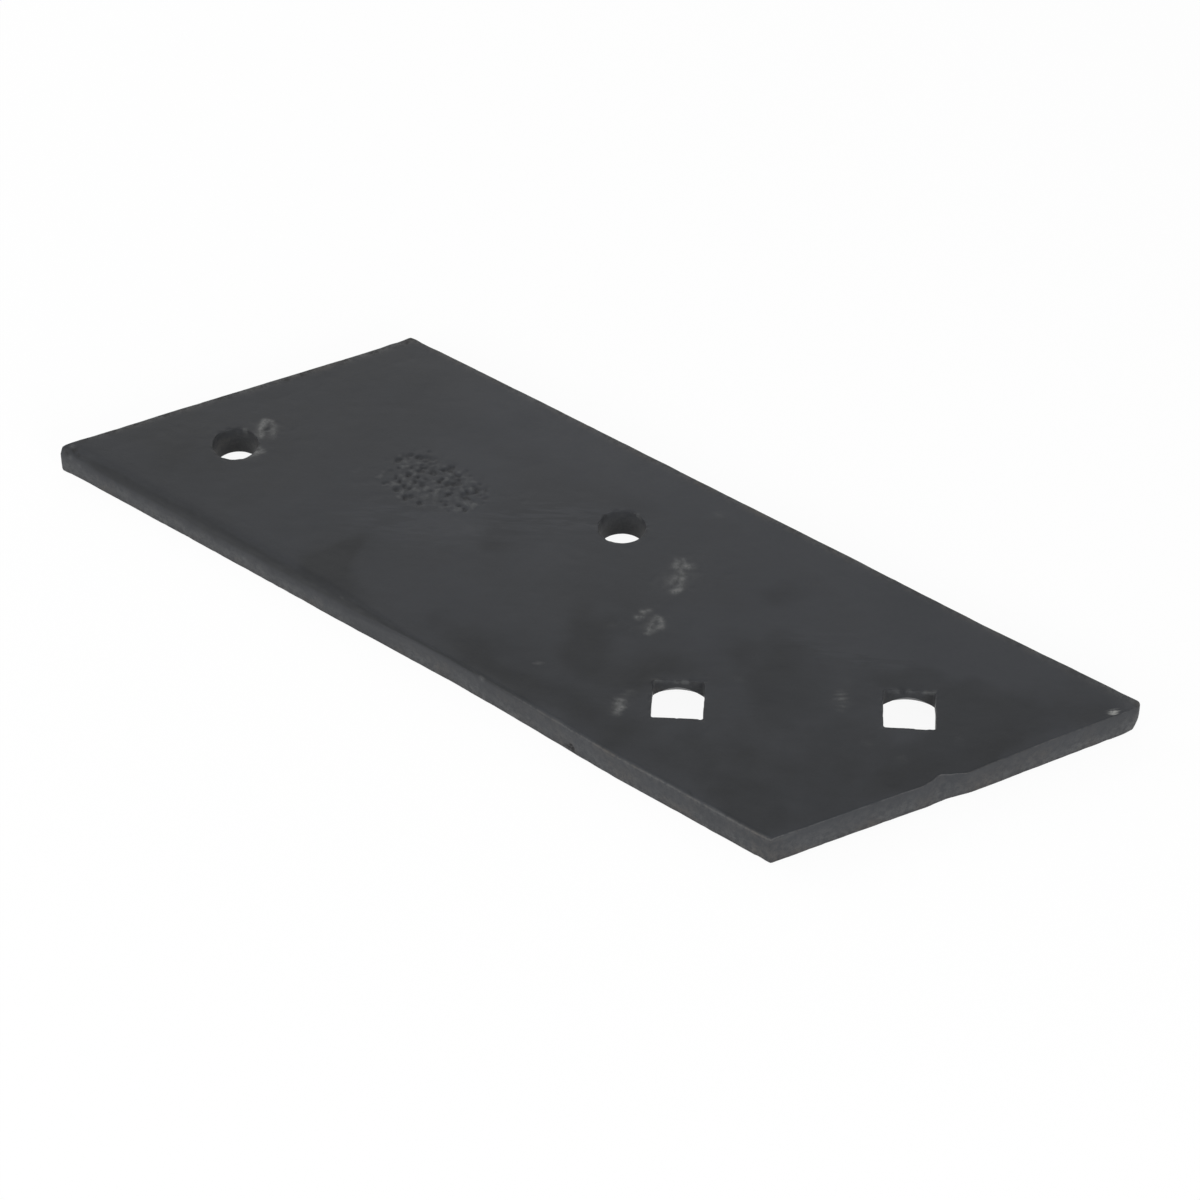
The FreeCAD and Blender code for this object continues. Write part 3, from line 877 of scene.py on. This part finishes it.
# Relief: every point moves along its own normal by noise of several sizes, and the marks add their beads,
# hollows and nicks; the result never leaves the CAD box
def wearPlate(mesh):
    count = len(mesh.vertices)
    points = readVectors(mesh.vertices, "co", count) / mm
    shaped = shapeOutline(rollNearArris(points))
    mesh.vertices.foreach_set("co", (shaped * mm).ravel().astype(np.float32))
    mesh.update()
    normals = readVectors(mesh.vertex_normals, "vector", count)
    flat, height, tilt = shaped[:, :2], shaped[:, 2] / thickness, normals[:, 2]

    onTop = ramp(tilt, 0.3, 0.8) * (height > 0.5)
    onSide = ramp(np.abs(tilt), 0.75, 0.25)
    holeCentres = roundHoles["centres"] + squareHoles["centres"]
    nearest = np.min([np.linalg.norm(flat - centre, axis=1) for centre in holeCentres], axis=0)
    inBore = (nearest < squareHoles["sinkRadius"] + 0.5) * (1 - onTop)
    relief = noiseSum(shaped, wear["waves"]) - wear["room"]
    relief += onTop * (noiseSum(shaped, wear["wavesOnTop"]) - wear["roomOnTop"])
    relief += onSide * noiseSum(shaped, wear["wavesOnSides"])

    wander = wear["wander"] * noisePair(shaped, 1.7, (21, 22))
    markRelief, bare = [layer * onTop for layer in drawMarks(shaped, wander)]
    sunk, raised = [layer * onTop for layer in roughSpots(shaped, wander)]
    relief += markRelief + marks["roughRise"] * raised - marks["roughDepth"] * sunk
    bare += marks["roughBright"] * raised
    # painted shade: the sunk spots are darkened beyond the shade their relief casts
    dirtAndShade = wear["roughPaintedShade"] * sunk

    # the sheared arrises are ragged
    arris = bell(np.abs(tilt), 0.7, 0.3) * (1 - inBore)
    relief -= wear["arrisChips"] * arris * ramp(latticeNoise(shaped, (2.6, 2.6, 2.0), 54), 0.1, 0.6)

    # the mouths' lips are chipped, and some chips are rubbed light
    lip = bell(mouthDistance(flat), 0, 0.9) * ramp(height, 0.8, 0.9)
    chips = latticeNoise(shaped, 1.7, 51)
    patchy = ramp(latticeNoise(shaped, 7, 52), -0.4, 0.4)
    relief -= wear["mouthChips"] * lip * ramp(chips, 0.05, 0.45)
    bare += wear["mouthRub"] * lip * patchy * ramp(chips, -0.05, -0.45)
    # darker along the mouths' lips, in patches
    dirtAndShade += wear["mouthDark"] * lip * (1 - 0.6 * patchy) * ramp(latticeNoise(shaped, 1.9, 53), 0.12, 0.42)

    # darker low on the sides, dirt in a speckled strip along the far and the rear edge, and in spots on the
    # latter
    dirtAndShade += wear["lowSideDark"] * onSide * (1 - inBore) * ramp(height, 0.3, 0)
    fromRear = (flat - cornerPoints[3]) @ direction(slope - math.pi / 2)
    strip = bell(np.minimum(width / 2 - flat[:, 1], fromRear), 0, 2.4) * onTop
    dirtAndShade += wear["edgeDirt"] * strip * ramp(latticeNoise(shaped, 3.0, 55), -0.2, 0.3)
    rearSpots = ramp(latticeNoise(shaped, (2.2, 2.2, 9), 56), 0.12, 0.42)
    dirtAndShade += wear["rearSpots"] * bell(fromRear, 1.6, 1.3) * onTop * rearSpots

    moved = shaped + np.pad(wander, ((0, 0), (0, 1)))
    for *place, radius, depth, bright in marks["nicks"]:
        nick = ramp(np.linalg.norm(moved - place, axis=1) / radius, 1.3, 0.3)
        relief -= nick * depth
        bare = np.maximum(bare, nick * bright)
        dirtAndShade = np.maximum(dirtAndShade, -nick * bright)

    final = np.clip(shaped + normals * relief[:, None], plateLow, plateHigh)
    mesh.vertices.foreach_set("co", (final * mm).ravel().astype(np.float32))

    sideRubAndPaintedLight, arrisRubAndHighlight = rubAndPaintedLightLayers(shaped, tilt, inBore, strip)
    dipThicknessAndShading, wiped = dipAndShadingLayers(shaped, tilt, onTop)
    layers = dict(bareMark=bare, arrisRubAndHighlight=arrisRubAndHighlight, sideRubAndPaintedLight=sideRubAndPaintedLight, wiped=wiped, dipThicknessAndShading=dipThicknessAndShading, dirtAndShade=dirtAndShade)
    for name, values in layers.items():
        attribute = mesh.attributes.new(name, "FLOAT", "POINT")
        attribute.data.foreach_set("value", values.astype(np.float32))
    mesh.set_sharp_from_angle(angle=math.radians(38))
    mesh.update()


holeBlocks = []
for holes in (roundHoles, squareHoles):
    holeBlocks += [cellBlock(*centre, holes["blockAlong"], holes["blockAcross"]) for centre in holes["centres"]]
fineZones = [cellBlock(*zone) for zone in marks["zones"]]
print("grid", len(uLines), "x", len(wLines), "lines")

parts = faceSheet(thickness, holeBlocks, fineZones, False)
parts += faceSheet(0.0, holeBlocks, [], True) + rimBand()
for centre, block in zip(roundHoles["centres"], holeBlocks[:2]):
    parts += roundHole(centre, block)
for centre, block in zip(squareHoles["centres"], holeBlocks[2:]):
    parts += squareHole(centre, block)
plateMesh = joinParts("wornPlate", parts)
wearPlate(plateMesh)
wornPlate = bpy.data.objects.new("wornPlate", plateMesh)
bpy.context.scene.collection.objects.link(wornPlate)
print("plate worn, marked and smoothed")


# Hot-rolled steel plate dipped in thin black enamel. The dip dries satin, follows every roll mark, lies thicker
# in clouds a few cm wide, and is rubbed thin to grey on the arrises and at the knocks. Painted light and shade
# share these colours: the thick dip colour also paints shade on the near roll and over the top, the thin one
# painted light over the top, the rubbed grey painted light on the sides and in the bores and painted highlights
# along the arrises, and the dirt colour painted shade in the rough patch's pits.

blackDip = {
    "thickAndShaded": "#16181b",
    "thinAndLit": "#303236",
    "rubbedAndLit": "#454647",
    "rubbedWarm": "#474543",
    "bareSteel": "#a6a7a5",
    "dirtAndShade": "#0f0f10",
    # pattern, size in mm, detail, roughness of the detail
    "patterns": [
        ("clouds", 34, 4, 0.6),
        ("patches", 12, 3, 0.55),
        ("scuffs", 2.0, 5, 0.7),
        ("speckle", 1.3, 2, 0.5),
        ("grain", 0.7, 1, 0.5),
    ],
    "streakSize": (14, 2.4, 8),
    "streakTurn": 34,           # the wiping went along the line of the square holes
    "streakSpan": (0.44, 0.64),  # of the streaks' values, where wiping shows
    # how thin the dip is: from the clouds' span, its least and most, and what each layer or pattern adds
    "cloudSpan": (0.32, 0.68),
    "cloudShare": (0.17, 0.51),
    "thinShares": {"speckle": 0.3, "streaks": 0.16, "patches": 0.25, "wiping": 0.85, "dipThicknessAndShading": -0.6},
    "warmSpan": (0.45, 0.62),   # the patches' span that turns the rubbed grey warm
    # where the dip is rubbed or dirty, with painted light and shade carried in the same layers: layer, pattern
    # that breaks it up, the pattern's span, least and most share, colour
    "rubs": [
        ("sideRubAndPaintedLight", "scuffs", (0.36, 0.64), (0.16, 0.74), "rubbedAndLit"),
        ("arrisRubAndHighlight", "scuffs", (0.38, 0.58), (0.15, 0.95), "rubbedAndLit"),
        ("bareMark", "grain", (0.25, 0.6), (0.26, 0.48), "bareSteel"),
        ("dirtAndShade", "speckle", (0.35, 0.6), (0.1, 1.0), "dirtAndShade"),
    ],
    "roughness": (0.41, 0.53),  # least and most over the clouds
    "speckleRoughness": 0.1,
    "specular": 0.30,
    # fine relief: its depth in mm, and what each pattern adds
    "bumpDepth": 0.05,
    "bumpShares": {"grain": 0.35, "speckle": 0.6, "streaks": 0.12, "scuffed": 3.0},
}


def dippedSteel():
    dip = blackDip
    material = bpy.data.materials.new("black dipped rolled steel")
    tree = cleanTree(material)
    place = addNode(tree, "TexCoord")["Object"]
    fields = {name: addNode(tree, "Attribute", attribute_name=name)["Fac"]
              for name in ("dipThicknessAndShading", "wiped", "sideRubAndPaintedLight", "arrisRubAndHighlight", "bareMark", "dirtAndShade")}
    for name, size, detail, rough in dip["patterns"]:
        inputs = {"Vector": place, "Scale": 1 / (size * mm), "Detail": detail, "Roughness": rough, "W": size}
        fields[name] = addNode(tree, "TexNoise", inputs, noise_dimensions="4D")["Fac"]
    turn = -math.radians(dip["streakTurn"])
    turned = addNode(tree, "Mapping", {"Vector": place, "Rotation": (0, 0, turn)})[0]
    scale = [1 / (size * mm) for size in dip["streakSize"]]
    stretched = addNode(tree, "Mapping", {"Vector": turned, "Scale": scale})[0]
    inputs = {"Vector": stretched, "Scale": 1.0, "Detail": 3, "Roughness": 0.6, "Distortion": 0.3}
    fields["streaks"] = addNode(tree, "TexNoise", inputs)["Fac"]
    fields["lines"] = addNode(tree, "MapRange", (fields["streaks"], *dip["streakSpan"]))[0]
    for name, first, second in (("wiping", "wiped", "lines"), ("scuffed", "sideRubAndPaintedLight", "scuffs")):
        fields[name] = addNode(tree, "Math", (fields[first], fields[second]), operation="MULTIPLY")[0]

    def addShares(total, shares):
        # each field times its share, added to what is there
        for name, share in shares.items():
            total = addNode(tree, "Math", (fields[name], share, total), operation="MULTIPLY_ADD")[0]
        return total

    def mixColours(share, below, above):
        return addNode(tree, "Mix", {0: share, 6: below, 7: above}, data_type="RGBA")[2]

    # thin dip is greyer: clouds and speckle everywhere, streaks where it was wiped, less where it lies thick
    # and where painted shade lies, more where painted light lies
    clouds = addNode(tree, "MapRange", (fields["clouds"], *dip["cloudSpan"], *dip["cloudShare"]),
                     interpolation_type="SMOOTHSTEP")[0]
    thinAndLit = addShares(clouds, dip["thinShares"])
    colour = mixColours(thinAndLit, hexToLinear(dip["thickAndShaded"]), hexToLinear(dip["thinAndLit"]))

    # rubbed grey is here and there a little warm, as where rust began under the dip
    warm = addNode(tree, "MapRange", (fields["patches"], *dip["warmSpan"]))[0]
    paints = {name: hexToLinear(dip[name]) for name in ("rubbedAndLit", "rubbedWarm", "bareSteel", "dirtAndShade")}
    paints["rubbedAndLit"] = mixColours(warm, paints["rubbedAndLit"], paints["rubbedWarm"])
    for layer, pattern, span, shares, paint in dip["rubs"]:
        broken = addNode(tree, "MapRange", (fields[pattern], *span, *shares),
                         interpolation_type="SMOOTHSTEP")[0]
        share = addNode(tree, "Math", (fields[layer], broken), operation="MULTIPLY", use_clamp=True)[0]
        colour = mixColours(share, colour, paints[paint])

    # roughness swings with the clouds and the speckle
    roughness = addNode(tree, "MapRange", (fields["clouds"], 0.3, 0.7, *dip["roughness"]))[0]
    roughness = addNode(tree, "Math", (fields["speckle"], dip["speckleRoughness"], roughness),
                        operation="MULTIPLY_ADD", use_clamp=True)[0]
    relief = addShares(0.0, dip["bumpShares"])
    bump = addNode(tree, "Bump", {"Strength": 1.0, "Distance": dip["bumpDepth"] * mm, "Height": relief})[0]
    shader = addNode(tree, "BsdfPrincipled", {
        "Base Color": colour, "Metallic": 0.0, "Roughness": roughness, "IOR": 1.5,
        "Specular IOR Level": dip["specular"], "Normal": bump,
    })
    addNode(tree, "OutputMaterial", shader)
    return material


plateMesh.materials.clear()
plateMesh.materials.append(dippedSteel())
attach(wornPlate, "root")
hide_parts("landside_plate")
print("black dip laid on")
